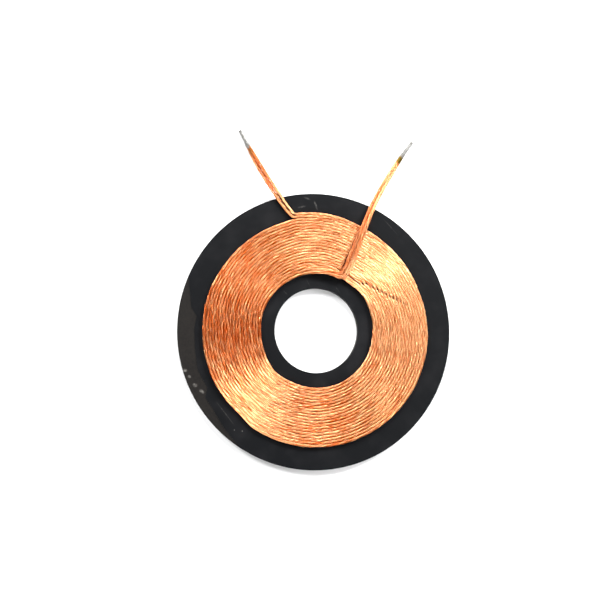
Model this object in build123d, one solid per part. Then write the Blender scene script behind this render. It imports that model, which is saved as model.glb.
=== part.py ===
from build123d import *
import math
import os

# Wireless charging coil: two litz wires wound side by side as one flat spiral, stuck on a
# ferrite ring, with two short leads that end in tinned tips.
# Millimetres and degrees. +Z is up. The origin is on the centre hole's axis, at the underside
# of the ferrite ring. Angles run counter-clockwise from +X, seen from above.

# Ferrite ring, its cover film and the adhesive ring under the coil
RING_R = 25.0
HOLE_R = 7.65
FERRITE_T = 1.0
FILM_T = 0.05
TAPE_T = 0.10
TAPE_IN_R = 10.7
TAPE_OUT_R = 20.4
FILM_TOP = FERRITE_T + FILM_T
WOUND_Z = FILM_TOP + TAPE_T

# The film's torn edge at the left rim, where the ferrite lies bare: radius and angle of each
# corner of the tear. The first and last corners are just past the rim, and what is cut away
# closes outside it, at TEAR_CUT_R.
FILM_TEAR = [
    (25.2, 156.5), (23.9, 163.0), (22.9, 170.0), (21.7, 173.6), (22.0, 179.0), (22.1, 188.0),
    (22.5, 198.5), (22.1, 207.5), (23.3, 211.0), (23.3, 217.5), (24.0, 226.0), (25.2, 238.0),
]
TEAR_CUT_R = 28.0

# The winding: ten turns of a pair of wires, each pressed flat at the foot and against its
# neighbour, with sloped shoulders that leave a groove between the crests
TURNS = 10
WIRE_PITCH = 0.521
WIRE_GAP = 0.012
WIRE_H = 0.60
SHOULDER_H = 0.42
CREST_SHARE = 0.45
PAIR_STEP = 2 * WIRE_PITCH
COIL_IN_R = 10.25
FIRST_PAIR_R = COIL_IN_R + WIRE_PITCH
LAST_PAIR_R = FIRST_PAIR_R + TURNS * PAIR_STEP
COIL_TOP = WOUND_Z + WIRE_H
FOOT_W = WIRE_PITCH - WIRE_GAP
PRESSED = (WOUND_Z, FOOT_W, WIRE_H, 0, 0)

# Angles of the winding. Between SHIFT_FROM and SHIFT_TO every turn moves out by one pair.
# A wire is set out in short straight lengths: TURN_LENGTHS of them from WIND_FROM round to the
# winder's mark, and SHIFT_LENGTHS in the shift.
WIND_FROM = 106.0
WIND_TO = 100.6
SHIFT_FROM = 52.0
SHIFT_TO = 92.0
TURN_LENGTHS = 26
SHIFT_LENGTHS = 4

# The winder's mark: where the turns cross a straight line, each pair but the first kinks out a
# little, one after another, which leaves a short dark notch between it and the pair inside.
# KINK_LINE_DIST and KINK_LINE_NORMAL give the line's distance from the origin and its direction.
KINK = 0.13
KINK_LINE_DIST = 11.18
KINK_LINE_NORMAL = 66.9
KINK_LATEST = 47.0
KINK_FIRST = 7.6

# Leads. A lead's wires change from the pressed outline to a loose, six-sided bundle. The inner
# lead climbs off the first turn, bends and crosses over the coil. The outer one bends off the
# last turn and crosses the film. A run is a length and how far it turns, left being positive.
LEAD_CLEAR = 0.012
INNER_BEND_AT = 69.3
INNER_BEND_R = 0.9
INNER_BEND = 77.6
INNER_RUNS = [(2.6, 10.3), (8.6, 0), (6.4, -8.0), (5.6, -2.5), (5.3, -4.0)]
OUTER_BEND_R = 0.8
OUTER_BEND = -60.0
OUTER_RUNS = [(3.6, -7.0), (4.5, -2.0), (4.0, -3.0), (3.4, 0), (2.4, -2.0)]
RAMP_STEPS = 5
BEND_STEPS = 6
RUN_STEP = 1.2

# Stations along each lead: distance, underside's height, wire's width and height, roundness
# from 0 as pressed to 1 as a bundle, and how far the pair has twisted about its middle
OVER_COIL = COIL_TOP + LEAD_CLEAR
INNER_LEAD = [
    (0.0, *PRESSED),
    (0.5, WOUND_Z + 0.05, FOOT_W, WIRE_H, 0, 0),
    (2.1, OVER_COIL - 0.03, FOOT_W, WIRE_H, 0, 0),
    (2.5, OVER_COIL, FOOT_W, WIRE_H, 0, 0),
    (5.7, OVER_COIL, 0.56, 0.54, 1, 0),
    (8.1, OVER_COIL, 0.62, 0.50, 1, 0),
    (10.6, OVER_COIL, 0.86, 0.42, 1, 0),
    (15.1, OVER_COIL, 0.84, 0.42, 1, 0),
    (17.9, OVER_COIL, 0.66, 0.50, 1, 0),
    (19.7, OVER_COIL - 0.10, 0.62, 0.54, 1, 0),
    (22.6, 1.38, 0.60, 0.54, 1, 10),
    (27.6, 0.82, 0.56, 0.56, 1, 150),
    (31.6, 0.34, 0.52, 0.58, 1, 190),
    (33.0, 0.18, 0.40, 0.62, 1, 200),
]
OUTER_LEAD = [
    (0.0, *PRESSED),
    (1.2, WOUND_Z, 0.56, 0.58, 0.8, 0),
    (2.4, FILM_TOP + 0.03, 0.60, 0.56, 1, 0),
    (4.9, FILM_TOP + 0.06, 0.60, 0.56, 1, 0),
    (6.0, 0.98, 0.58, 0.56, 1, 25),
    (9.0, 0.68, 0.56, 0.56, 1, 100),
    (13.0, 0.34, 0.56, 0.56, 1, 200),
    (15.3, 0.20, 0.42, 0.60, 1, 250),
]

# Tinned tips: solder that soaks both wires, tapering to the cut end on the table
TIP_D = 0.74
TIP_END_D = 0.62
TIP_CLEAR = 0.01
TIP_SIDES = 10


def polar(radius, angle):
    """The point at a radius and an angle in plan."""
    return radius * math.cos(math.radians(angle)), radius * math.sin(math.radians(angle))


def ferrite_ring():
    """The flat sintered ring that carries everything."""
    with BuildPart() as ring:
        Cylinder(RING_R, FERRITE_T, align=(Align.CENTER, Align.CENTER, Align.MIN))
        Hole(HOLE_R)
    return ring.part


def cover_film():
    """The film on the ferrite's upper face, torn away along the left rim."""
    tear = [polar(radius, angle) for radius, angle in FILM_TEAR]
    first, last = FILM_TEAR[0][1], FILM_TEAR[-1][1]
    outside = [polar(TEAR_CUT_R, angle) for angle in (last, (first + last) / 2, first)]
    with BuildPart() as film:
        with BuildSketch(Plane.XY.offset(FERRITE_T)):
            Circle(RING_R)
            Circle(HOLE_R, mode=Mode.SUBTRACT)
            with BuildLine():
                Polyline(*tear, *outside, close=True)
            make_face(mode=Mode.SUBTRACT)
        extrude(amount=FILM_T)
    return film.part


def coil_tape():
    """The double-sided adhesive ring, a little narrower than the winding over it."""
    with BuildPart() as tape:
        with BuildSketch(Plane.XY.offset(FILM_TOP)):
            Circle(TAPE_OUT_R)
            Circle(TAPE_IN_R, mode=Mode.SUBTRACT)
        extrude(amount=TAPE_T)
    return tape.part


def pressed_outline():
    """Corners of a wire as pressed in the winding: foot, shoulder and crest, right then left."""
    foot = FOOT_W / 2
    right = [(foot, 0), (foot, SHOULDER_H), (foot * CREST_SHARE, WIRE_H)]
    return right + [(-x, z) for x, z in reversed(right)]


def bundle_outline(width, height, roundness):
    """Six corners of a wire in a lead: as pressed at 0, a hexagon at 1."""
    right = [(width / 4, 0), (width / 2, height / 2), (width / 4, height)]
    hexagon = right + [(-x, z) for x, z in reversed(right)]
    corners = []
    for (px, pz), (hx, hz) in zip(pressed_outline(), hexagon):
        corners.append((px + (hx - px) * roundness, pz + (hz - pz) * roundness))
    return corners


def between(stations, distance):
    """The values of a lead's station table at a distance along it."""
    for before, after in zip(stations, stations[1:]):
        if distance <= after[0]:
            share = (distance - before[0]) / (after[0] - before[0])
            return [a + (b - a) * share for a, b in zip(before[1:], after[1:])]
    return list(stations[-1][1:])


def outline(middle, across, side, base, width, height, roundness, twist):
    """Outline of one wire of the pair. It stands across the pair, off the pair's middle in plan.

    side is -1 for the inner wire of the pair and 1 for the outer one.
    """
    pitch = WIRE_PITCH + (width + LEAD_CLEAR - WIRE_PITCH) * roundness
    cos_twist = math.cos(math.radians(twist))
    sin_twist = math.sin(math.radians(twist))
    corners = []
    for x, z in bundle_outline(width, height, roundness):
        out = side * pitch / 2 + x
        up = z - height / 2
        turned = out * cos_twist - up * sin_twist
        raised = out * sin_twist + up * cos_twist
        corners.append(middle + across * turned + Vector(0, 0, base + height / 2 + raised))
    return Wire.make_polygon(corners, close=True)


def kink_angle(turn):
    """Where a turn's pair crosses the winder's mark."""
    radius = FIRST_PAIR_R + turn * PAIR_STEP
    return min(KINK_LINE_NORMAL - math.degrees(math.acos(KINK_LINE_DIST / radius)), KINK_LATEST)


def step_share(angle):
    """How much of its step out to the next circle a pair has made, with a soft start and end."""
    past = max(angle - 360 - SHIFT_FROM, 0) / (SHIFT_TO - SHIFT_FROM)
    return past**2 * (3 - 2 * past)


def pair_radius(turn, angle):
    """Radius of the pair's middle in a turn, whose angles run from SHIFT_TO to 360 more."""
    radius = FIRST_PAIR_R + turn * PAIR_STEP
    share = step_share(angle)
    kink = KINK if turn and angle >= 360 + kink_angle(turn) else 0
    return radius + kink * (1 - share) + PAIR_STEP * share


def spread(start, end, count):
    """Evenly spaced values from start up to, but not including, end."""
    return [start + (end - start) * i / count for i in range(count)]


def wound_outlines(side):
    """Outlines of one wire through its turns, from just past WIND_FROM up to WIND_TO."""
    opening = spread(SHIFT_TO, WIND_FROM, 2) + [WIND_FROM]
    angles = opening + spread(WIND_FROM, 360 + KINK_FIRST, TURN_LENGTHS)[1:] + [360 + KINK_FIRST]
    angles += [360 + kink_angle(turn) for turn in range(TURNS - 1, 0, -1)]
    angles += spread(360 + SHIFT_FROM, 360 + SHIFT_TO, SHIFT_LENGTHS)
    places = [(pair_radius(turn, angle), angle) for turn in range(TURNS) for angle in angles]
    started = [(radius, angle) for radius, angle in places if radius > FIRST_PAIR_R or angle > WIND_FROM]
    ending = [(LAST_PAIR_R, angle) for angle in opening if angle < WIND_TO]
    return [
        outline(Vector(*polar(radius, angle)), Vector(*polar(1, angle)), side, *PRESSED)
        for radius, angle in started + ending
    ]


def lead_outlines(route, distances, stations, side, hand):
    """Outlines of one wire of a lead. hand is 1 where the pair's outer side is left of the route."""
    outlines = []
    for distance in distances:
        at = route.position_at(distance, PositionMode.LENGTH)
        along = route.tangent_at(distance, PositionMode.LENGTH)
        across = Vector(-along.Y, along.X, 0) * hand
        outlines.append(outline(at, across, side, *between(stations, distance)))
    return outlines


def bend(radius, turn):
    """An arc of a given radius as a run: its length and its turn."""
    return radius * math.radians(abs(turn)), turn


def lead_route(start, heading, runs):
    """A lead's line in plan: tangent arcs and straight runs, each a length and a turn."""
    at = Vector(*start, 0)
    along = Vector(*polar(1, heading), 0)
    with BuildLine() as line:
        for length, turn in runs:
            if turn:
                last = JernArc(at, along, length / math.radians(abs(turn)), turn)
            else:
                last = Line(at, at + along * length)
            at = last @ 1
            along = last % 1
    return line.wire()


def inner_route():
    """Back along the first turn, round the bend and out over the coil to the inner tip."""
    return lead_route(polar(FIRST_PAIR_R, WIND_FROM), WIND_FROM - 90, [
        bend(FIRST_PAIR_R, INNER_BEND_AT - WIND_FROM),
        bend(INNER_BEND_R, INNER_BEND),
        *INNER_RUNS,
    ])


def outer_route():
    """Off the last turn, round the bend and out over the film to the outer tip."""
    return lead_route(polar(LAST_PAIR_R, WIND_TO), WIND_TO + 90, [
        bend(OUTER_BEND_R, OUTER_BEND),
        *OUTER_RUNS,
    ])


def tinned_end(route, stations):
    """The solder that joins both wires at a lead's tip: a tapered rod that comes down to rest."""
    distance, base, _, height, *_ = stations[-1]
    root = route.position_at(distance, PositionMode.LENGTH) + Vector(0, 0, base + height / 2)
    tip = route.position_at(1) + Vector(0, 0, TIP_END_D / 2 + TIP_CLEAR)
    with BuildPart() as rod:
        for end, size in ((root, TIP_D), (tip, TIP_END_D)):
            with BuildSketch(Plane(origin=end, z_dir=tip - root)):
                RegularPolygon(size / 2, TIP_SIDES)
        loft()
    return rod.part


def stops(first, bend_end, last):
    """Distances at which a lead's outline is set: close round its bend, wider along the rest."""
    near = spread(first, bend_end, BEND_STEPS)
    return near + spread(bend_end, last, round((last - bend_end) / RUN_STEP)) + [last]


def litz_wire(side):
    """One continuous wire: in from its inner tip, round its ten turns and out to its outer tip."""
    ramp_end = bend(FIRST_PAIR_R, INNER_BEND_AT - WIND_FROM)[0]
    inner_bend_end = ramp_end + bend(INNER_BEND_R, INNER_BEND)[0]
    outer_bend_end = bend(OUTER_BEND_R, OUTER_BEND)[0]
    inner_stops = spread(0, ramp_end, RAMP_STEPS) + stops(ramp_end, inner_bend_end, INNER_LEAD[-1][0])
    outer_stops = stops(0, outer_bend_end, OUTER_LEAD[-1][0])
    outlines = lead_outlines(inner_route(), reversed(inner_stops), INNER_LEAD, side, 1)
    outlines += wound_outlines(side)
    outlines += lead_outlines(outer_route(), outer_stops, OUTER_LEAD, side, -1)
    return Solid.make_loft(outlines, ruled=True)


def main():
    parts = {
        "ferrite_ring": ferrite_ring(),
        "cover_film": cover_film(),
        "coil_tape": coil_tape(),
        "litz_wire_a": litz_wire(-1),
        "litz_wire_b": litz_wire(1),
        "tinned_end_inner": tinned_end(inner_route(), INNER_LEAD),
        "tinned_end_outer": tinned_end(outer_route(), OUTER_LEAD),
    }
    os.makedirs("parts", exist_ok=True)
    for name, shape in parts.items():
        export_step(shape, f"parts/{name}.step")


if __name__ == "__main__":
    main()
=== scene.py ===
import math
import bpy
import numpy as np
from mathutils import Matrix, Vector


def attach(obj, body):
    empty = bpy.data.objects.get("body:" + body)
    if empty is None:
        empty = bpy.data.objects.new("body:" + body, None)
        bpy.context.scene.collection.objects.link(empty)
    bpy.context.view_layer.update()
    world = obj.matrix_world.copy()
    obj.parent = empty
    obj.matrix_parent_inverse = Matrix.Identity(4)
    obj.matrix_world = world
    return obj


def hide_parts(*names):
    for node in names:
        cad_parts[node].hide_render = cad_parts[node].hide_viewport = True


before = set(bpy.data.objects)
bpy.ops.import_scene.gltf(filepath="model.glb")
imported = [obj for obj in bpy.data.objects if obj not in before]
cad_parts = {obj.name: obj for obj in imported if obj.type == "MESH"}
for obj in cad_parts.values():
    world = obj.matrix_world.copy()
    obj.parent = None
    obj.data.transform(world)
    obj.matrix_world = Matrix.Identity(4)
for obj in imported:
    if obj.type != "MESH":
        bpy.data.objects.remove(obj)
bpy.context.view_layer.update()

# Wireless charging coil: two litz wires wound side by side as one flat spiral on a ferrite ring.
# The coil's measures are in millimetres and degrees, as in the CAD, and are turned to metres
# where a mesh is made. Angles run counter-clockwise from +X, seen from above.

MM = 0.001
rng = np.random.default_rng(20)

# Winding
TURNS = 10
FERRITE_TOP = 1.0
FILM_TOP = 1.05
WOUND_Z = 1.15
WIRE_PITCH = 0.521
WIRE_W = 0.509
WIRE_H = 0.60
COIL_IN_R = 10.25
PAIR_R = COIL_IN_R + WIRE_PITCH
LAST_PAIR_R = PAIR_R + TURNS * 2 * WIRE_PITCH
COIL_TOP = WOUND_Z + WIRE_H
WIND_FROM = 106.0
WIND_TO = 100.6
SHIFT_FROM = 52.0
SHIFT_TO = 92.0

# The winder's mark, where each wire outside UNKINKED_R jogs out and leaves a dark notch. Its depth
# goes by radius, as KINK_FADE gives it.
KINK = 0.19
KINK_RUN = 0.22
KINK_FADE = ((11.3, 15.0, 19.0), (1.0, 0.8, 0.2))
PINCH = 0.17
PINCH_RUN = 0.38
KINK_LINE_DIST = 11.18
KINK_LINE_NORMAL = 66.9
KINK_LATEST = 47.0
UNKINKED_R = 11.3
PINCH_FLAT = 1.6

# How far the copper's inner and outer edges stray from true circles, by angle, eased over EASED
# degrees
EASED = 9
INNER_STRAY = [
    (0, 0.08), (20, 0.18), (36, 0.38), (46, 0.30), (60, 0.12), (84, 0.0), (106, 0.0), (114, -0.05),
    (200, -0.05), (212, 0.14), (223, 0.34), (232, 0.24), (242, 0.04), (355, 0.05),
]
OUTER_STRAY = [
    (0, 0.02), (20, -0.24), (35, -0.17), (58, -0.12), (70, -0.24), (86, -0.24), (96, -0.16),
    (101, -0.02), (108, -0.27), (148, -0.25), (158, -0.07), (185, -0.05), (205, 0.03),
    (227, -0.26), (236, 0.22), (280, 0.26), (310, 0.22), (350, 0.10),
]

# Leads: the CAD's plan runs of (length, turn), and this scene's own stations of (distance,
# underside, wire width, wire height, roundness, twist of the pair). Over the coil the inner lead
# is flatter, wider and a little higher than the CAD's, and the free leads twist less.
INNER_BEND_AT = 69.3
INNER_BEND_R = 0.9
INNER_BEND = 77.6
INNER_RUNS = [(2.6, 10.3), (8.6, 0), (6.4, -8.0), (5.6, -2.5), (5.3, -4.0)]
OUTER_BEND_R = 0.8
OUTER_BEND = -60.0
OUTER_RUNS = [(3.6, -7.0), (4.5, -2.0), (4.0, -3.0), (3.4, 0), (2.4, -2.0)]
LEAD_CLEAR = 0.012
LEAD_GROOVE = 0.09
LEAD_SQUEEZE = 0.03
LEAD_SWAY = 0.03
SWAY_WAVES = (2.3, 3.7)
FLAT_FROM_W = 0.68
FLAT_OVER_W = 0.14
OVER_COIL = COIL_TOP + LEAD_CLEAR
INNER_LEAD = [
    (0.0, WOUND_Z, WIRE_W, WIRE_H, 0, 0),
    (0.8, WOUND_Z + 0.03, WIRE_W, WIRE_H, 0, 0),
    (4.2, OVER_COIL - 0.04, WIRE_W, WIRE_H - 0.02, 0.2, 0),
    (5.2, OVER_COIL, 0.54, 0.54, 0.6, 0),
    (6.6, OVER_COIL + 0.04, 0.60, 0.50, 1, 0),
    (8.1, OVER_COIL + 0.08, 0.82, 0.42, 1, 0),
    (9.6, OVER_COIL + 0.10, 0.92, 0.38, 1, 0),
    (12.5, OVER_COIL + 0.10, 0.88, 0.38, 1, 0),
    (15.1, OVER_COIL + 0.08, 0.80, 0.40, 1, 0),
    (17.9, OVER_COIL + 0.02, 0.66, 0.50, 1, 0),
    (19.7, OVER_COIL - 0.10, 0.64, 0.54, 1, 0),
    (22.6, 1.38, 0.62, 0.54, 1, 6),
    (27.6, 0.82, 0.63, 0.56, 1, 25),
    (31.6, 0.34, 0.58, 0.58, 1, 42),
    (33.0, 0.18, 0.46, 0.60, 1, 50),
]
OUTER_LEAD = [
    (0.0, WOUND_Z, WIRE_W, WIRE_H, 0, 0),
    (1.2, WOUND_Z, 0.56, 0.58, 0.8, 0),
    (2.4, FILM_TOP + 0.03, 0.60, 0.56, 1, 0),
    (4.9, FILM_TOP + 0.06, 0.66, 0.56, 1, 0),
    (6.0, 0.98, 0.67, 0.56, 1, 6),
    (9.0, 0.68, 0.67, 0.57, 1, 20),
    (13.0, 0.34, 0.62, 0.58, 1, 38),
    (15.3, 0.20, 0.47, 0.60, 1, 50),
]

# Rope: each wire is six sub-bundles of fine strands, laid round each other once in LAY. The lay is
# slacker where a lead is flattened, and the section is squarer where a wire is pressed.
BUNDLES = 6
LAY = 7.0
BUNDLE_R = 0.098
LOOSE = 0.018
WANDER = 0.35
PHASE_SPREAD = 0.1
SLACKER_LAY = 0.7
SQUARED = 1.2
BROAD_STEP = 5.0
FINE_STEP = 1.3
RING_STEP = 0.25
RING_POINTS = 7
PLAN_STEP = RING_STEP / 4
FEWEST_STEPS = 4
INTO_TIN = 0.9
FAR_FROM_TIN = 99

# Painted shade along the leads: a painted shadow at the inner lead's left edge over the coil, and
# painted shade in the valley between its two wires and between the outer lead's two wires: how
# sharply each sets in across a wire and from where, and how deep. The outer lead's lies at
# MARGIN_REACH from its tin, where it crosses the film's margin.
EDGE_SHADOW = (6, 4.4)
VALLEY_SHADE = (4, 2.4)
VALLEY_DEPTH = 0.3
MARGIN_SHADE = (3, 0.9)
MARGIN_DEPTH = 0.9
MARGIN_REACH = (9.4, 10.6, 15.2, 16.0)

# Enamel's tone: its middle and spread along a sub-bundle, its spread from one sub-bundle to the
# next and in fine steps, and the middle and spread of the leads' bands. LEAD_BROWN is how far a
# lead's own browner colour covers it.
BROAD_TONE = (0.5, 0.12)
BUNDLE_TONE = 0.05
FINE_TONE = 0.12
BANDING = (-0.2, 0.42)
LEAD_BROWN = 0.45

# Painted light and shade on the enamel, by angle in five broad steps: darker and browner at the
# left and the bottom, lighter at the right
ENAMEL_PAINTED_LIGHT = [(10, 0.2), (100, 0.0), (180, -0.3), (235, 0.1), (270, -0.1)]

# Flux beside the tin: its middle, the length it fades over, its half length in such fades, and its
# share on the outer lead. TIN_SOAK is the length over which the tin fades into the strands.
FLUX_AT = 0.6
FLUX_FADE = 0.4
FLUX_HALF = 2.6
OUTER_FLUX = 0.5
TIN_SOAK = 0.5

# Strands, as drawn: real ones are 0.05 mm across, too fine to show. Their noise gives ridges in the
# bump and painted glints in the colour, STRAND_GLINT long.
STRAND_W = 0.09
STRAND_GLINT = 1.1

# Tinned tips: their sizes at the root and at the cut end, the strands' ridges, which turn by
# TIN_TWIST radians in one LAY, their swelling, and how they taper and are rounded at both ends.
# TIN_BACK and TIN_CUT_FROM are shares of the length: how far behind the root a tip starts, and
# where its cut end does. TIN_CLEAR is the cut end's height over the floor.
TIN_W = 0.80
TIN_H = 0.66
TIN_END_D = 0.58
TIN_RIDGE = 0.018
TIN_RIDGE_COUNT = 5
TIN_TWIST = 9
TIN_SWELL = 0.012
TIN_SWELLS = 7
TIN_TAPER = 1.5
TIN_CUT_ROUND = (0.90, 4)
TIN_ROOT_ROUND = (0.80, 3)
TIN_BACK = 0.05
TIN_CUT_FROM = 0.9
TIN_CUT_RISE = 10
TIN_CLEAR = 0.012
TIN_RINGS = 40
TIN_POINTS = 36

# Marks: place, direction, half length, half width, how pale. Each reaches MARK_DEPTH up and down.
MARK_DEPTH = 0.5
FILM_MARKS = [
    (-0.1, 22.9, -70, 1.0, 0.20, 0.24),
    (-1.7, 24.1, -19, 0.8, 0.20, 0.12),
    (-2.7, 22.5, 14, 0.9, 0.22, 0.12),
    (-16.4, -14.8, -52, 3.0, 0.06, 0.18),
    (-1.5, 8.6, -63, 1.0, 0.05, 0.16),
    (3.9, 7.5, -54, 0.8, 0.05, 0.14),
    (-5.7, 6.8, -44, 0.6, 0.05, 0.16),
    (13.9, 19.3, -47, 2.4, 0.05, 0.14),
    (-14.8, -17.7, -17, 0.1, 0.12, 0.60),
    (-13.4, -17.9, 16, 0.1, 0.12, 0.60),
]
FERRITE_MARKS = [
    (-23.6, -7.2, -20, 0.5, 0.35, 0.28),
    (-22.8, -8.3, -40, 0.4, 0.30, 0.20),
    (-21.8, -9.8, -12, 0.5, 0.40, 0.28),
    (-20.6, -10.9, -39, 0.6, 0.35, 0.22),
]


def polar(radius, angle):
    """Plan points at radii and angles."""
    return np.stack([radius * np.cos(np.radians(angle)), radius * np.sin(np.radians(angle))], -1)


def stray(table, angle):
    """A table's value round the coil, eased between its angles."""
    angles, values = zip(*table)
    fine = np.arange(0, 360, 1.0)
    raw = np.interp(fine, angles, values, period=360)
    window = np.hanning(EASED)
    smooth = np.convolve(np.tile(raw, 3), window / window.sum(), "same")[360:720]
    return np.interp(angle % 360, fine, smooth, period=360)


def turn_radius(place, angle):
    """A wire's radius and width over one turn from SHIFT_TO, by its place from the inside."""
    plain = COIL_IN_R + WIRE_PITCH * (place + 0.5)
    past = np.clip((angle - 360 - SHIFT_FROM) / (SHIFT_TO - SHIFT_FROM), 0, 1)
    share = past**2 * (3 - 2 * past)
    jog = pinch = 0 * angle
    if plain > UNKINKED_R:
        kink = min(KINK_LINE_NORMAL - math.degrees(math.acos(KINK_LINE_DIST / plain)), KINK_LATEST)
        after = np.radians(angle - 360 - kink) * plain
        depth = np.interp(plain, *KINK_FADE)
        jog = depth * KINK * np.clip(after / KINK_RUN + 1, 0, 1)
        near = np.exp(-((after + PINCH_RUN / 2) / (PINCH_RUN / 2)) ** 2)
        pinch = depth * PINCH * np.clip(PINCH_FLAT * near, 0, 1)
    spot = place + 0.5 + 2 * share + jog * (1 - share) / WIRE_PITCH
    inner = COIL_IN_R + stray(INNER_STRAY, angle)
    outer = COIL_IN_R + TURNS * 2 * WIRE_PITCH + stray(OUTER_STRAY, angle)
    return inner + spot * (outer - inner) / (2 * TURNS) - pinch / 2, WIRE_W - pinch


def wound_line(side):
    """Centres, frame, size, pressing and reach of a wire in its turns. Reach is to its tin."""
    angles, sizes = [], []
    for turn in range(TURNS + 1):
        place = 2 * turn + (0 if side < 0 else 1)
        start = SHIFT_TO if turn else WIND_FROM
        stop = 360 + SHIFT_TO if turn < TURNS else WIND_TO
        length = math.radians(stop - start) * (COIL_IN_R + place * WIRE_PITCH)
        angle = np.linspace(start, stop, int(length / RING_STEP), endpoint=False)
        angles.append(angle)
        sizes.append(turn_radius(place, angle))
    angle = np.concatenate(angles)
    radius, width = np.concatenate(sizes, 1)
    ones = np.ones(len(angle))
    centre = np.concatenate([polar(radius, angle), (WOUND_Z + WIRE_H / 2) * ones[:, None]], 1)
    across = np.concatenate([polar(ones, angle), 0 * ones[:, None]], 1)
    up = np.tile([0, 0, 1.0], (len(angle), 1))
    return centre, across, up, width, WIRE_H * ones, ones, FAR_FROM_TIN * ones


def bend(radius, turn):
    """An arc of a given radius as a run: its length and its turn."""
    return radius * math.radians(abs(turn)), turn


def walk(start, heading, runs):
    """A lead's plan line in small steps, at even distances: points and headings."""
    points, headings = [np.array(start)], [heading]
    for length, turn in runs:
        count = max(int(length / PLAN_STEP), FEWEST_STEPS)
        for _ in range(count):
            middle = math.radians(headings[-1] + turn / count / 2)
            step = length / count * np.array([math.cos(middle), math.sin(middle)])
            points.append(points[-1] + step)
            headings.append(headings[-1] + turn / count)
    return np.array(points), np.array(headings)


def flattening(width):
    """How far a lead's wire is flattened over the coil, from 0 to 1, by its width."""
    return np.clip((width - FLAT_FROM_W) / FLAT_OVER_W, 0, 1)


def lead_line(start, heading, runs, stations, side, hand):
    """The same as wound_line for a wire in a lead. hand is 1 where its outer side is left."""
    points, headings = walk(start, heading, runs)
    steps = np.linalg.norm(np.diff(points, axis=0), axis=1)
    distance = np.concatenate([[0], np.cumsum(steps)])
    even = np.arange(0, stations[-1][0] + INTO_TIN, RING_STEP)
    x, y, turned = (np.interp(even, distance, c) for c in (*points.T, headings))
    turned = np.radians(turned)
    across = np.stack([-np.sin(turned), np.cos(turned), 0 * turned], -1) * hand
    table = np.array(stations, float)
    base, width, height, roundness, twist = (
        np.interp(even, table[:, 0], column) for column in table[:, 1:].T
    )
    flat = flattening(width)
    spread = width - LEAD_SQUEEZE + LEAD_GROOVE * flat - WIRE_PITCH
    pitch = WIRE_PITCH + spread * roundness
    twist = np.radians(twist)[:, None]
    up = np.array([0, 0, 1.0])
    wire_across = across * np.cos(twist) + up * np.sin(twist)
    wire_up = -across * np.sin(twist) + up * np.cos(twist)
    slow, quick = SWAY_WAVES
    sway = LEAD_SWAY * flat * (np.sin(even * slow + side) + np.sin(even * quick))
    middle = np.stack([x, y, base + height / 2], -1)
    centre = middle + wire_across * (side * pitch / 2 + sway)[:, None]
    return centre, wire_across, wire_up, width, height, 1 - roundness, stations[-1][0] - even


def inner_line(side):
    """A wire of the inner lead, from the winding out to its tin."""
    runs = [bend(PAIR_R, INNER_BEND_AT - WIND_FROM), bend(INNER_BEND_R, INNER_BEND), *INNER_RUNS]
    return lead_line(polar(PAIR_R, WIND_FROM), WIND_FROM - 90, runs, INNER_LEAD, side, 1)


def outer_line(side):
    """A wire of the outer lead, from the winding out to its tin."""
    runs = [bend(OUTER_BEND_R, OUTER_BEND), *OUTER_RUNS]
    return lead_line(polar(LAST_PAIR_R, WIND_TO), WIND_TO + 90, runs, OUTER_LEAD, side, -1)


def wire_line(side):
    """One wire from its inner tip through the turns to its outer tip."""
    lines = zip(inner_line(side), wound_line(side), outer_line(side))
    return [np.concatenate([a[::-1][:-1], b, c[1:]]) for a, b, c in lines]


def swept(name, rings, runs, attributes, material):
    """A closed tube mesh through rings of points, with the run along it in the UV map."""
    count, points = rings.shape[:2]
    near = np.arange(count - 1)[:, None] * points + np.arange(points)[None, :]
    beside = np.arange(count - 1)[:, None] * points + np.roll(np.arange(points), -1)[None, :]
    quads = np.stack([near, beside, beside + points, near + points], -1).reshape(-1, 4)
    faces = quads.tolist()
    faces.append(list(range(points))[::-1])
    faces.append([(count - 1) * points + j for j in range(points)])
    mesh = bpy.data.meshes.new(name)
    mesh.from_pydata((rings.reshape(-1, 3) * MM).tolist(), [], faces)
    round_it = np.arange(points) / points
    uv = np.zeros((count - 1, points, 4, 2))
    uv[..., 0] = np.stack([round_it, round_it + 1 / points, round_it + 1 / points, round_it], -1)
    uv[..., :2, 1] = runs[:-1, None, None]
    uv[..., 2:, 1] = runs[1:, None, None]
    layer = mesh.uv_layers.new(name="run")
    caps = np.zeros((2 * points, 2))
    layer.data.foreach_set("uv", np.concatenate([uv.reshape(-1, 2), caps]).ravel())
    for key, values in attributes.items():
        attribute = mesh.attributes.new(key, "FLOAT", "POINT")
        attribute.data.foreach_set("value", np.repeat(values, points).astype(np.float32))
    mesh.shade_smooth()
    mesh.materials.append(material)
    piece = bpy.data.objects.new(name, mesh)
    bpy.context.scene.collection.objects.link(piece)
    return piece


def bundle(name, centre, outward, runs, attributes, material):
    """One sub-bundle of strands: a round tube along its line."""
    along = np.gradient(centre, axis=0)
    along /= np.linalg.norm(along, axis=1)[:, None]
    outward = outward - along * (outward * along).sum(1)[:, None]
    outward /= np.linalg.norm(outward, axis=1)[:, None]
    beside = np.cross(along, outward)
    turn = np.arange(RING_POINTS) * 2 * math.pi / RING_POINTS
    rings = centre[:, None] + BUNDLE_R * (
        outward[:, None] * np.cos(turn)[None, :, None]
        + beside[:, None] * np.sin(turn)[None, :, None]
    )
    return swept(name, rings, runs, attributes, material)


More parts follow.
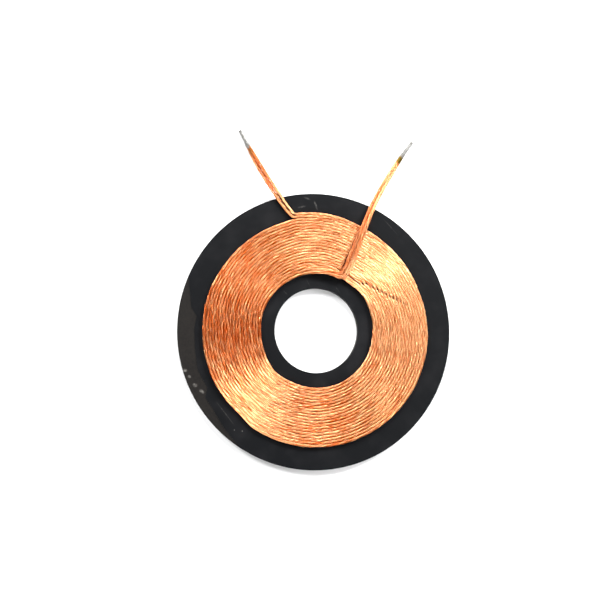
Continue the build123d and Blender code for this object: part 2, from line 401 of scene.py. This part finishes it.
def litz_bundles(letter, side, material):
    """The six sub-bundles of one wire, laid round each other and pressed with it."""
    centre, across, up, width, height, pressed, reach = wire_line(side)
    steps = np.linalg.norm(np.diff(centre, axis=0), axis=1)
    run = np.concatenate([[0], np.cumsum(steps)])
    knots = np.arange(0, run[-1] + BROAD_STEP, BROAD_STEP)
    small = np.arange(0, run[-1] + FINE_STEP, FINE_STEP)
    wander = np.interp(run, knots, rng.normal(0, WANDER, len(knots)))
    flattened = flattening(width)
    laid = np.concatenate([[0], np.cumsum(steps * (1 - SLACKER_LAY * flattened[1:]))]) / LAY
    power = 2 / (2 + SQUARED * pressed)
    inner_end = np.arange(len(run)) < len(run) / 2
    margin_depth = np.interp(reach, MARGIN_REACH, (0, MARGIN_DEPTH, MARGIN_DEPTH, 0)) * ~inner_end
    banding = np.interp(run, knots, rng.normal(*BANDING, len(knots))) * (1 - pressed)
    angle = np.degrees(np.arctan2(centre[:, 1], centre[:, 0]))
    # Painted light and shade by angle round the coil, on the pressed wires only
    painted_light = stray(ENAMEL_PAINTED_LIGHT, angle) * pressed
    pieces = []
    for k in range(BUNDLES):
        phase = 2 * math.pi * (k / BUNDLES + laid) + wander + rng.normal(0, PHASE_SPREAD)
        beside, above = np.cos(phase), np.sin(phase)
        loose = [np.interp(run, small, rng.normal(0, LOOSE, len(small))) for _ in range(2)]
        # Painted shade: a painted shadow on the left flank of the flattened inner lead, and painted
        # shade where a lead's two wires meet, over the coil and over the film's margin
        edge = np.clip(beside * EDGE_SHADOW[0] - EDGE_SHADOW[1], 0, 1) * (side > 0)
        valley = np.clip(-side * beside * VALLEY_SHADE[0] - VALLEY_SHADE[1], 0, 1)
        margin = np.clip(-side * beside * MARGIN_SHADE[0] - MARGIN_SHADE[1], 0, 1)
        painted_shade = flattened * (edge + VALLEY_DEPTH * valley) + margin_depth * margin
        beside = np.sign(beside) * np.abs(beside) ** power * (width / 2 - BUNDLE_R) + loose[0]
        above = np.sign(above) * np.abs(above) ** power * (height / 2 - BUNDLE_R) + loose[1]
        outward = across * beside[:, None] + up * above[:, None]
        tone = np.interp(run, knots, rng.normal(*BROAD_TONE, len(knots)))
        tone += rng.normal(0, BUNDLE_TONE)
        tone += np.interp(run, small, rng.normal(0, FINE_TONE, len(small)))
        flux = np.clip(FLUX_HALF - np.abs(reach - FLUX_AT) / FLUX_FADE, 0, 1)
        attributes = {
            "tone": tone + painted_light + banding,
            "tin": np.clip(0.5 - reach / TIN_SOAK, 0, 1),
            "flux": flux * np.where(inner_end, 1, OUTER_FLUX),
            "lead": LEAD_BROWN * flattened + LEAD_BROWN * (1 - pressed) * (1 - flattened),
            "painted_shade": np.clip(painted_shade, 0, 1),
        }
        name = f"litz_{letter}_bundle_{k + 1}"
        pieces.append(bundle(name, centre + outward, outward, run, attributes, material))
    return pieces


def tinned_tip(name, line, tip, material):
    """Solder over both wires: it keeps the strands' twisted ridges and ends in a square cut."""
    a, b = (line(side) for side in (-1, 1))
    at = np.argmin(np.abs(a[-1]))
    root = (a[0][at] + b[0][at]) / 2
    across, up = a[1][at], a[2][at]
    end = np.array([*tip, TIN_END_D / 2 + TIN_CLEAR])
    along = (end - root) / np.linalg.norm(end - root)
    across = across - along * (across @ along)
    across /= np.linalg.norm(across)
    up = np.cross(along, across) * np.sign(np.cross(along, across) @ up)
    share = np.linspace(-TIN_BACK, 1, TIN_RINGS)
    run = share * np.linalg.norm(end - root)
    turn = np.arange(TIN_POINTS) * 2 * math.pi / TIN_POINTS
    taper = np.clip(share * TIN_TAPER, 0, 1)
    wide = TIN_W + (TIN_END_D - TIN_W) * taper
    high = TIN_H + (TIN_END_D - TIN_H) * taper
    at_cut = np.minimum(1, TIN_CUT_ROUND[0] + (1 - share) * TIN_CUT_ROUND[1])
    at_root = np.minimum(1, TIN_ROOT_ROUND[0] + (share + TIN_BACK) * TIN_ROOT_ROUND[1])
    rounded = at_cut * at_root
    knots = np.linspace(run[0], run[-1], TIN_SWELLS)
    swell = np.interp(run, knots, rng.normal(0, TIN_SWELL, TIN_SWELLS))
    twisted = turn[None, :] - run[:, None] / LAY * TIN_TWIST
    ridges = TIN_RIDGE * (np.cos(TIN_RIDGE_COUNT * twisted) - 1) / 2
    beside = ((wide / 2 + swell) * rounded)[:, None] + ridges
    above = ((high / 2 + swell) * rounded)[:, None] + ridges
    rings = (
        (root + (end - root) * share[:, None])[:, None]
        + across * (beside * np.cos(turn))[..., None]
        + up * (above * np.sin(turn))[..., None]
    )
    if np.cross(across, up) @ along < 0:
        rings = rings[:, ::-1]
    cut = np.clip((share - TIN_CUT_FROM) * TIN_CUT_RISE, 0, 1)
    return swept(name, rings, run, {"cut": cut}, material)


def linear(hexa):
    """An sRGB hex value as linear light."""
    channels = [int(hexa[i:i + 2], 16) / 255 for i in (1, 3, 5)]
    light = [c / 12.92 if c <= 0.04045 else ((c + 0.055) / 1.055) ** 2.4 for c in channels]
    return light + [1]


# A colour Mix node's sockets: how much of the upper colour, and the two colours
MIX_SHARE, MIX_UNDER, MIX_OVER = 0, 6, 7


def add(tree, kind, settings, sockets):
    """Adds a node with its settings. A socket takes a value, or another node's output as a link."""
    node = tree.nodes.new(kind)
    for name, value in settings.items():
        setattr(node, name, value)
    for socket, value in sockets.items():
        if isinstance(value, bpy.types.NodeSocket):
            tree.links.new(value, node.inputs[socket])
        else:
            node.inputs[socket].default_value = value
    return node


def new_material(name):
    """An empty material and its node tree."""
    material = bpy.data.materials.new(name)
    material.use_nodes = True
    material.node_tree.nodes.clear()
    return material, material.node_tree


def cells(size):
    """A noise pattern's scale on object coordinates, for a pattern size in millimetres."""
    return 1 / (size * MM)


def marked(tree, colour, place, marks, height, pale):
    """A surface's colour with its rubs and scratches, each broken up by a fine noise."""
    noise = add(tree, "ShaderNodeTexNoise", {}, {"Vector": place, "Scale": cells(0.4), "Detail": 2})
    broken = add(tree, "ShaderNodeMapRange", {}, {
        "Value": noise.outputs[0], "From Min": 0.40, "From Max": 0.58, "To Min": 0.3,
    })
    for x, y, turn, half_length, half_width, strength in marks:
        spot = add(tree, "ShaderNodeMapping", {"vector_type": "TEXTURE"}, {
            "Vector": place,
            "Location": (x * MM, y * MM, height * MM),
            "Rotation": (0, 0, math.radians(turn)),
            "Scale": (half_length * MM, half_width * MM, MARK_DEPTH * MM),
        })
        fade = add(tree, "ShaderNodeTexGradient", {"gradient_type": "SPHERICAL"}, {
            "Vector": spot.outputs[0],
        })
        full = add(tree, "ShaderNodeMapRange", {}, {
            "Value": fade.outputs[1], "From Max": 0.6, "To Max": strength,
        })
        share = add(tree, "ShaderNodeMath", {"operation": "MULTIPLY"}, {
            0: full.outputs[0], 1: broken.outputs[0],
        })
        colour = add(tree, "ShaderNodeMix", {"data_type": "RGBA"}, {
            MIX_SHARE: share.outputs[0], MIX_UNDER: colour, MIX_OVER: linear(pale),
        }).outputs[2]
    return colour


def enamelled_copper():
    """Enamelled copper litz: drawn wire in clear enamel, a warm satin metal with sharp glints."""
    material, tree = new_material("enamelled_copper_litz")
    place = add(tree, "ShaderNodeTexCoord", {}, {}).outputs["Object"]
    run = add(tree, "ShaderNodeUVMap", {"uv_map": "run"}, {}).outputs[0]
    tone, lead, painted_shade, flux, tin = (
        add(tree, "ShaderNodeAttribute", {"attribute_name": name}, {}).outputs["Fac"]
        for name in ("tone", "lead", "painted_shade", "flux", "tin")
    )
    stretched = add(tree, "ShaderNodeMapping", {}, {
        "Vector": run, "Scale": (2 * math.pi * BUNDLE_R / STRAND_W, 1 / STRAND_GLINT, 1),
    })
    strands = add(tree, "ShaderNodeTexNoise", {"noise_dimensions": "2D"}, {
        "Vector": stretched.outputs[0], "Scale": 1.0, "Detail": 3, "Roughness": 0.6,
    })
    # The strands' noise and the tone run the colour from copper to pale cream: random tone with
    # painted glints along the strands and the painted light and shade by angle
    tone_and_painted_light = add(tree, "ShaderNodeMath", {"operation": "ADD"}, {0: strands.outputs[0], 1: tone})
    share = add(tree, "ShaderNodeMapRange", {}, {
        "Value": tone_and_painted_light.outputs[0], "From Min": 0.62, "From Max": 1.38,
    })
    colour = add(tree, "ShaderNodeMix", {"data_type": "RGBA"}, {
        MIX_SHARE: share.outputs[0], MIX_UNDER: linear("#C8622C"), MIX_OVER: linear("#FFC48C"),
    }).outputs[2]
    # Handled patches, a few millimetres across, where the enamel is duller and browner
    patches = add(tree, "ShaderNodeTexNoise", {}, {
        "Vector": place, "Scale": cells(3.0), "Detail": 3, "Roughness": 0.6,
    })
    dull = add(tree, "ShaderNodeMapRange", {}, {
        "Value": patches.outputs[0], "From Min": 0.52, "From Max": 0.72, "To Max": 0.5,
    })
    # Layers over the colour: handled patches, the leads' browner colour, painted shade along the
    # leads in dark brown, flux and tin
    for cover, layer in (
        (dull.outputs[0], "#BC5C2C"), (lead, "#D08052"), (painted_shade, "#34140A"), (flux, "#5E4A12"),
        (tin, "#7C7B78"),
    ):
        colour = add(tree, "ShaderNodeMix", {"data_type": "RGBA"}, {
            MIX_SHARE: cover, MIX_UNDER: colour, MIX_OVER: linear(layer),
        }).outputs[2]
    ridges = add(tree, "ShaderNodeBump", {}, {
        "Strength": 0.8, "Distance": 0.03 * MM, "Height": strands.outputs[0],
    })
    worn = add(tree, "ShaderNodeMath", {"operation": "MULTIPLY_ADD"}, {
        0: dull.outputs[0], 1: 0.28, 2: 0.28,
    })
    rough = add(tree, "ShaderNodeMath", {"operation": "MULTIPLY_ADD"}, {
        0: lead, 1: 0.3, 2: worn.outputs[0],
    })
    shader = add(tree, "ShaderNodeBsdfPrincipled", {}, {
        "Base Color": colour, "Roughness": rough.outputs[0], "Normal": ridges.outputs[0],
        "Metallic": 1.0, "Coat Weight": 0.1, "Coat Roughness": 0.14,
    })
    add(tree, "ShaderNodeOutputMaterial", {}, {"Surface": shader.outputs[0]})
    return material


def polyester_film():
    """Black polyester film: satin plastic, near black, with pale rubs, scratches and specks."""
    material, tree = new_material("polyester_film")
    place = add(tree, "ShaderNodeTexCoord", {}, {}).outputs["Object"]
    rubs = add(tree, "ShaderNodeTexNoise", {}, {
        "Vector": place, "Scale": cells(5.5), "Detail": 4, "Roughness": 0.6,
    })
    share = add(tree, "ShaderNodeMapRange", {}, {
        "Value": rubs.outputs[0], "From Min": 0.45, "From Max": 0.75,
    })
    colour = add(tree, "ShaderNodeMix", {"data_type": "RGBA"}, {
        MIX_SHARE: share.outputs[0], MIX_UNDER: linear("#0D0E10"), MIX_OVER: linear("#141416"),
    }).outputs[2]
    rough = add(tree, "ShaderNodeMapRange", {}, {
        "Value": share.outputs[0], "To Min": 0.46, "To Max": 0.58,
    })
    shader = add(tree, "ShaderNodeBsdfPrincipled", {}, {
        "Base Color": marked(tree, colour, place, FILM_MARKS, FILM_TOP, "#84827E"),
        "Roughness": rough.outputs[0], "Specular IOR Level": 0.12,
    })
    add(tree, "ShaderNodeOutputMaterial", {}, {"Surface": shader.outputs[0]})
    return material


def sintered_ferrite():
    """Sintered ferrite: a hard grey-brown ceramic, matt, with a fine grain and small pits."""
    material, tree = new_material("sintered_ferrite")
    place = add(tree, "ShaderNodeTexCoord", {}, {}).outputs["Object"]
    # Real grain is 0.01 mm, too fine to show, so it is drawn at 0.3 mm
    grain = add(tree, "ShaderNodeTexNoise", {}, {
        "Vector": place, "Scale": cells(0.3), "Detail": 3, "Roughness": 0.6,
    })
    cloud = add(tree, "ShaderNodeTexNoise", {}, {
        "Vector": place, "Scale": cells(3.8), "Detail": 3, "Roughness": 0.6,
    })
    fine = add(tree, "ShaderNodeMapRange", {}, {
        "Value": grain.outputs[0], "From Min": 0.35, "From Max": 0.65,
    })
    broad = add(tree, "ShaderNodeMapRange", {}, {
        "Value": cloud.outputs[0], "From Min": 0.45, "From Max": 0.75, "To Max": 0.5,
    })
    colour = add(tree, "ShaderNodeMix", {"data_type": "RGBA"}, {
        MIX_SHARE: fine.outputs[0], MIX_UNDER: linear("#0E0C0B"), MIX_OVER: linear("#171412"),
    }).outputs[2]
    colour = add(tree, "ShaderNodeMix", {"data_type": "RGBA"}, {
        MIX_SHARE: broad.outputs[0], MIX_UNDER: colour, MIX_OVER: linear("#1B1815"),
    }).outputs[2]
    pits = add(tree, "ShaderNodeBump", {}, {
        "Strength": 0.35, "Distance": 0.04 * MM, "Height": grain.outputs[0],
    })
    shader = add(tree, "ShaderNodeBsdfPrincipled", {}, {
        "Base Color": marked(tree, colour, place, FERRITE_MARKS, FERRITE_TOP, "#A8A49E"),
        "Normal": pits.outputs[0], "Roughness": 0.62, "Specular IOR Level": 0.16,
    })
    add(tree, "ShaderNodeOutputMaterial", {}, {"Surface": shader.outputs[0]})
    return material


def acrylic_tape():
    """Acrylic adhesive tape: a dark, slightly tacky plastic, uneven in tone where pressed."""
    material, tree = new_material("acrylic_tape")
    place = add(tree, "ShaderNodeTexCoord", {}, {}).outputs["Object"]
    pressed = add(tree, "ShaderNodeTexNoise", {}, {
        "Vector": place, "Scale": cells(1.1), "Detail": 2,
    })
    colour = add(tree, "ShaderNodeMix", {"data_type": "RGBA"}, {
        MIX_SHARE: pressed.outputs[0], MIX_UNDER: linear("#14110F"), MIX_OVER: linear("#241E1A"),
    })
    shader = add(tree, "ShaderNodeBsdfPrincipled", {}, {
        "Base Color": colour.outputs[2], "Roughness": 0.6,
    })
    add(tree, "ShaderNodeOutputMaterial", {}, {"Surface": shader.outputs[0]})
    return material


def tin_solder():
    """Tin solder: dipped, frosted pale grey metal under a trace of flux, duller at the cut end."""
    material, tree = new_material("tin_solder")
    place = add(tree, "ShaderNodeTexCoord", {}, {}).outputs["Object"]
    cut = add(tree, "ShaderNodeAttribute", {"attribute_name": "cut"}, {}).outputs["Fac"]
    frost = add(tree, "ShaderNodeTexNoise", {}, {
        "Vector": place, "Scale": cells(0.4), "Detail": 3, "Roughness": 0.6,
    })
    share = add(tree, "ShaderNodeMapRange", {}, {
        "Value": frost.outputs[0], "From Min": 0.40, "From Max": 0.65,
    })
    colour = add(tree, "ShaderNodeMix", {"data_type": "RGBA"}, {
        MIX_SHARE: share.outputs[0], MIX_UNDER: linear("#82817E"), MIX_OVER: linear("#6A6965"),
    }).outputs[2]
    colour = add(tree, "ShaderNodeMix", {"data_type": "RGBA"}, {
        MIX_SHARE: cut, MIX_UNDER: colour, MIX_OVER: linear("#4E4C47"),
    }).outputs[2]
    skin = add(tree, "ShaderNodeBump", {}, {
        "Strength": 0.3, "Distance": 0.03 * MM, "Height": frost.outputs[0],
    })
    rough = add(tree, "ShaderNodeMapRange", {}, {
        "Value": share.outputs[0], "To Min": 0.44, "To Max": 0.60,
    })
    shader = add(tree, "ShaderNodeBsdfPrincipled", {}, {
        "Base Color": colour, "Normal": skin.outputs[0], "Roughness": rough.outputs[0],
        "Metallic": 0.6,
    })
    add(tree, "ShaderNodeOutputMaterial", {}, {"Surface": shader.outputs[0]})
    return material


def white_board():
    """White matt board for the floor."""
    material, tree = new_material("white_board")
    shader = add(tree, "ShaderNodeBsdfPrincipled", {}, {
        "Base Color": linear("#F2F2F2"), "Roughness": 0.9,
    })
    add(tree, "ShaderNodeOutputMaterial", {}, {"Surface": shader.outputs[0]})
    return material


# Litz wires, as ropes in place of the CAD's plain ones
copper = enamelled_copper()
for letter, side in (("a", -1), ("b", 1)):
    for piece in litz_bundles(letter, side, copper):
        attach(piece, "root")
        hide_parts(f"litz_wire_{letter}")

# Tinned tips. Each ends at the CAD's lead route's end.
solder = tin_solder()
for end, line, tip in (
    ("inner", inner_line, (18.35, 35.43)), ("outer", outer_line, (-13.99, 36.33)),
):
    piece = tinned_tip(f"tin_{end}", line, tip, solder)
    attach(piece, "root")
    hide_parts(f"tinned_end_{end}")

# The CAD's own meshes, each in its material
for node, material in (
    ("cover_film", polyester_film()), ("ferrite_ring", sintered_ferrite()),
    ("coil_tape", acrylic_tape()),
):
    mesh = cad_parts[node].data
    mesh.materials.clear()
    mesh.materials.append(material)

# Floor, FLOOR_HALF metres from its middle to each side
FLOOR_HALF = 2
corners = [(x * FLOOR_HALF, y * FLOOR_HALF, 0) for x, y in ((-1, -1), (1, -1), (1, 1), (-1, 1))]
floor_mesh = bpy.data.meshes.new("floor")
floor_mesh.from_pydata(corners, [], [(0, 1, 2, 3)])
floor_mesh.materials.append(white_board())
floor = bpy.data.objects.new("floor", floor_mesh)
bpy.context.scene.collection.objects.link(floor)

# Camera, fitted to the photograph's disc and hole
eye = Vector((-33.69, -8.74, 179.28)) * MM
target = Vector((-2.84, 5.59, 0.0)) * MM
back = (eye - target).normalized()
right = Vector((0, 1, 0)).cross(back).normalized()
above = back.cross(right)
camera_data = bpy.data.cameras.new("camera")
camera_data.lens = 60.28
camera_data.sensor_width = 36
camera_data.clip_start = 0.01
camera = bpy.data.objects.new("camera", camera_data)
camera.matrix_world = Matrix((
    (right.x, above.x, back.x, eye.x),
    (right.y, above.y, back.y, eye.y),
    (right.z, above.z, back.z, eye.z),
    (0, 0, 0, 1),
))
bpy.context.scene.collection.objects.link(camera)
bpy.context.scene.camera = camera


LAMP_DISTANCE = 0.6


def softbox(name, azimuth, elevation, size, watts):
    """A square soft white light that looks at the coil. Its size and distance are in metres."""
    light = bpy.data.lights.new(name, "AREA")
    light.shape = "SQUARE"
    light.size = size
    light.energy = watts
    lamp = bpy.data.objects.new(name, light)
    height = math.radians(elevation)
    lamp.location = LAMP_DISTANCE * Vector((*polar(math.cos(height), azimuth), math.sin(height)))
    lamp.rotation_euler = lamp.location.to_track_quat("Z", "Y").to_euler()
    bpy.context.scene.collection.objects.link(lamp)


softbox("key", 46, 32, 0.18, 5.8)
softbox("counter", 230, 32, 0.20, 3.2)
softbox("right", 6, 30, 0.22, 2.0)
softbox("top_right", 92, 34, 0.10, 3.8)
softbox("top_left", 138, 32, 0.14, 3.5)

# A faint even fill
world = bpy.data.worlds.new("studio")
bpy.context.scene.world = world
world.use_nodes = True
world.node_tree.nodes["Background"].inputs[0].default_value = linear("#F4F6FA")
world.node_tree.nodes["Background"].inputs[1].default_value = 0.05
bpy.context.scene.view_settings.view_transform = "Standard"
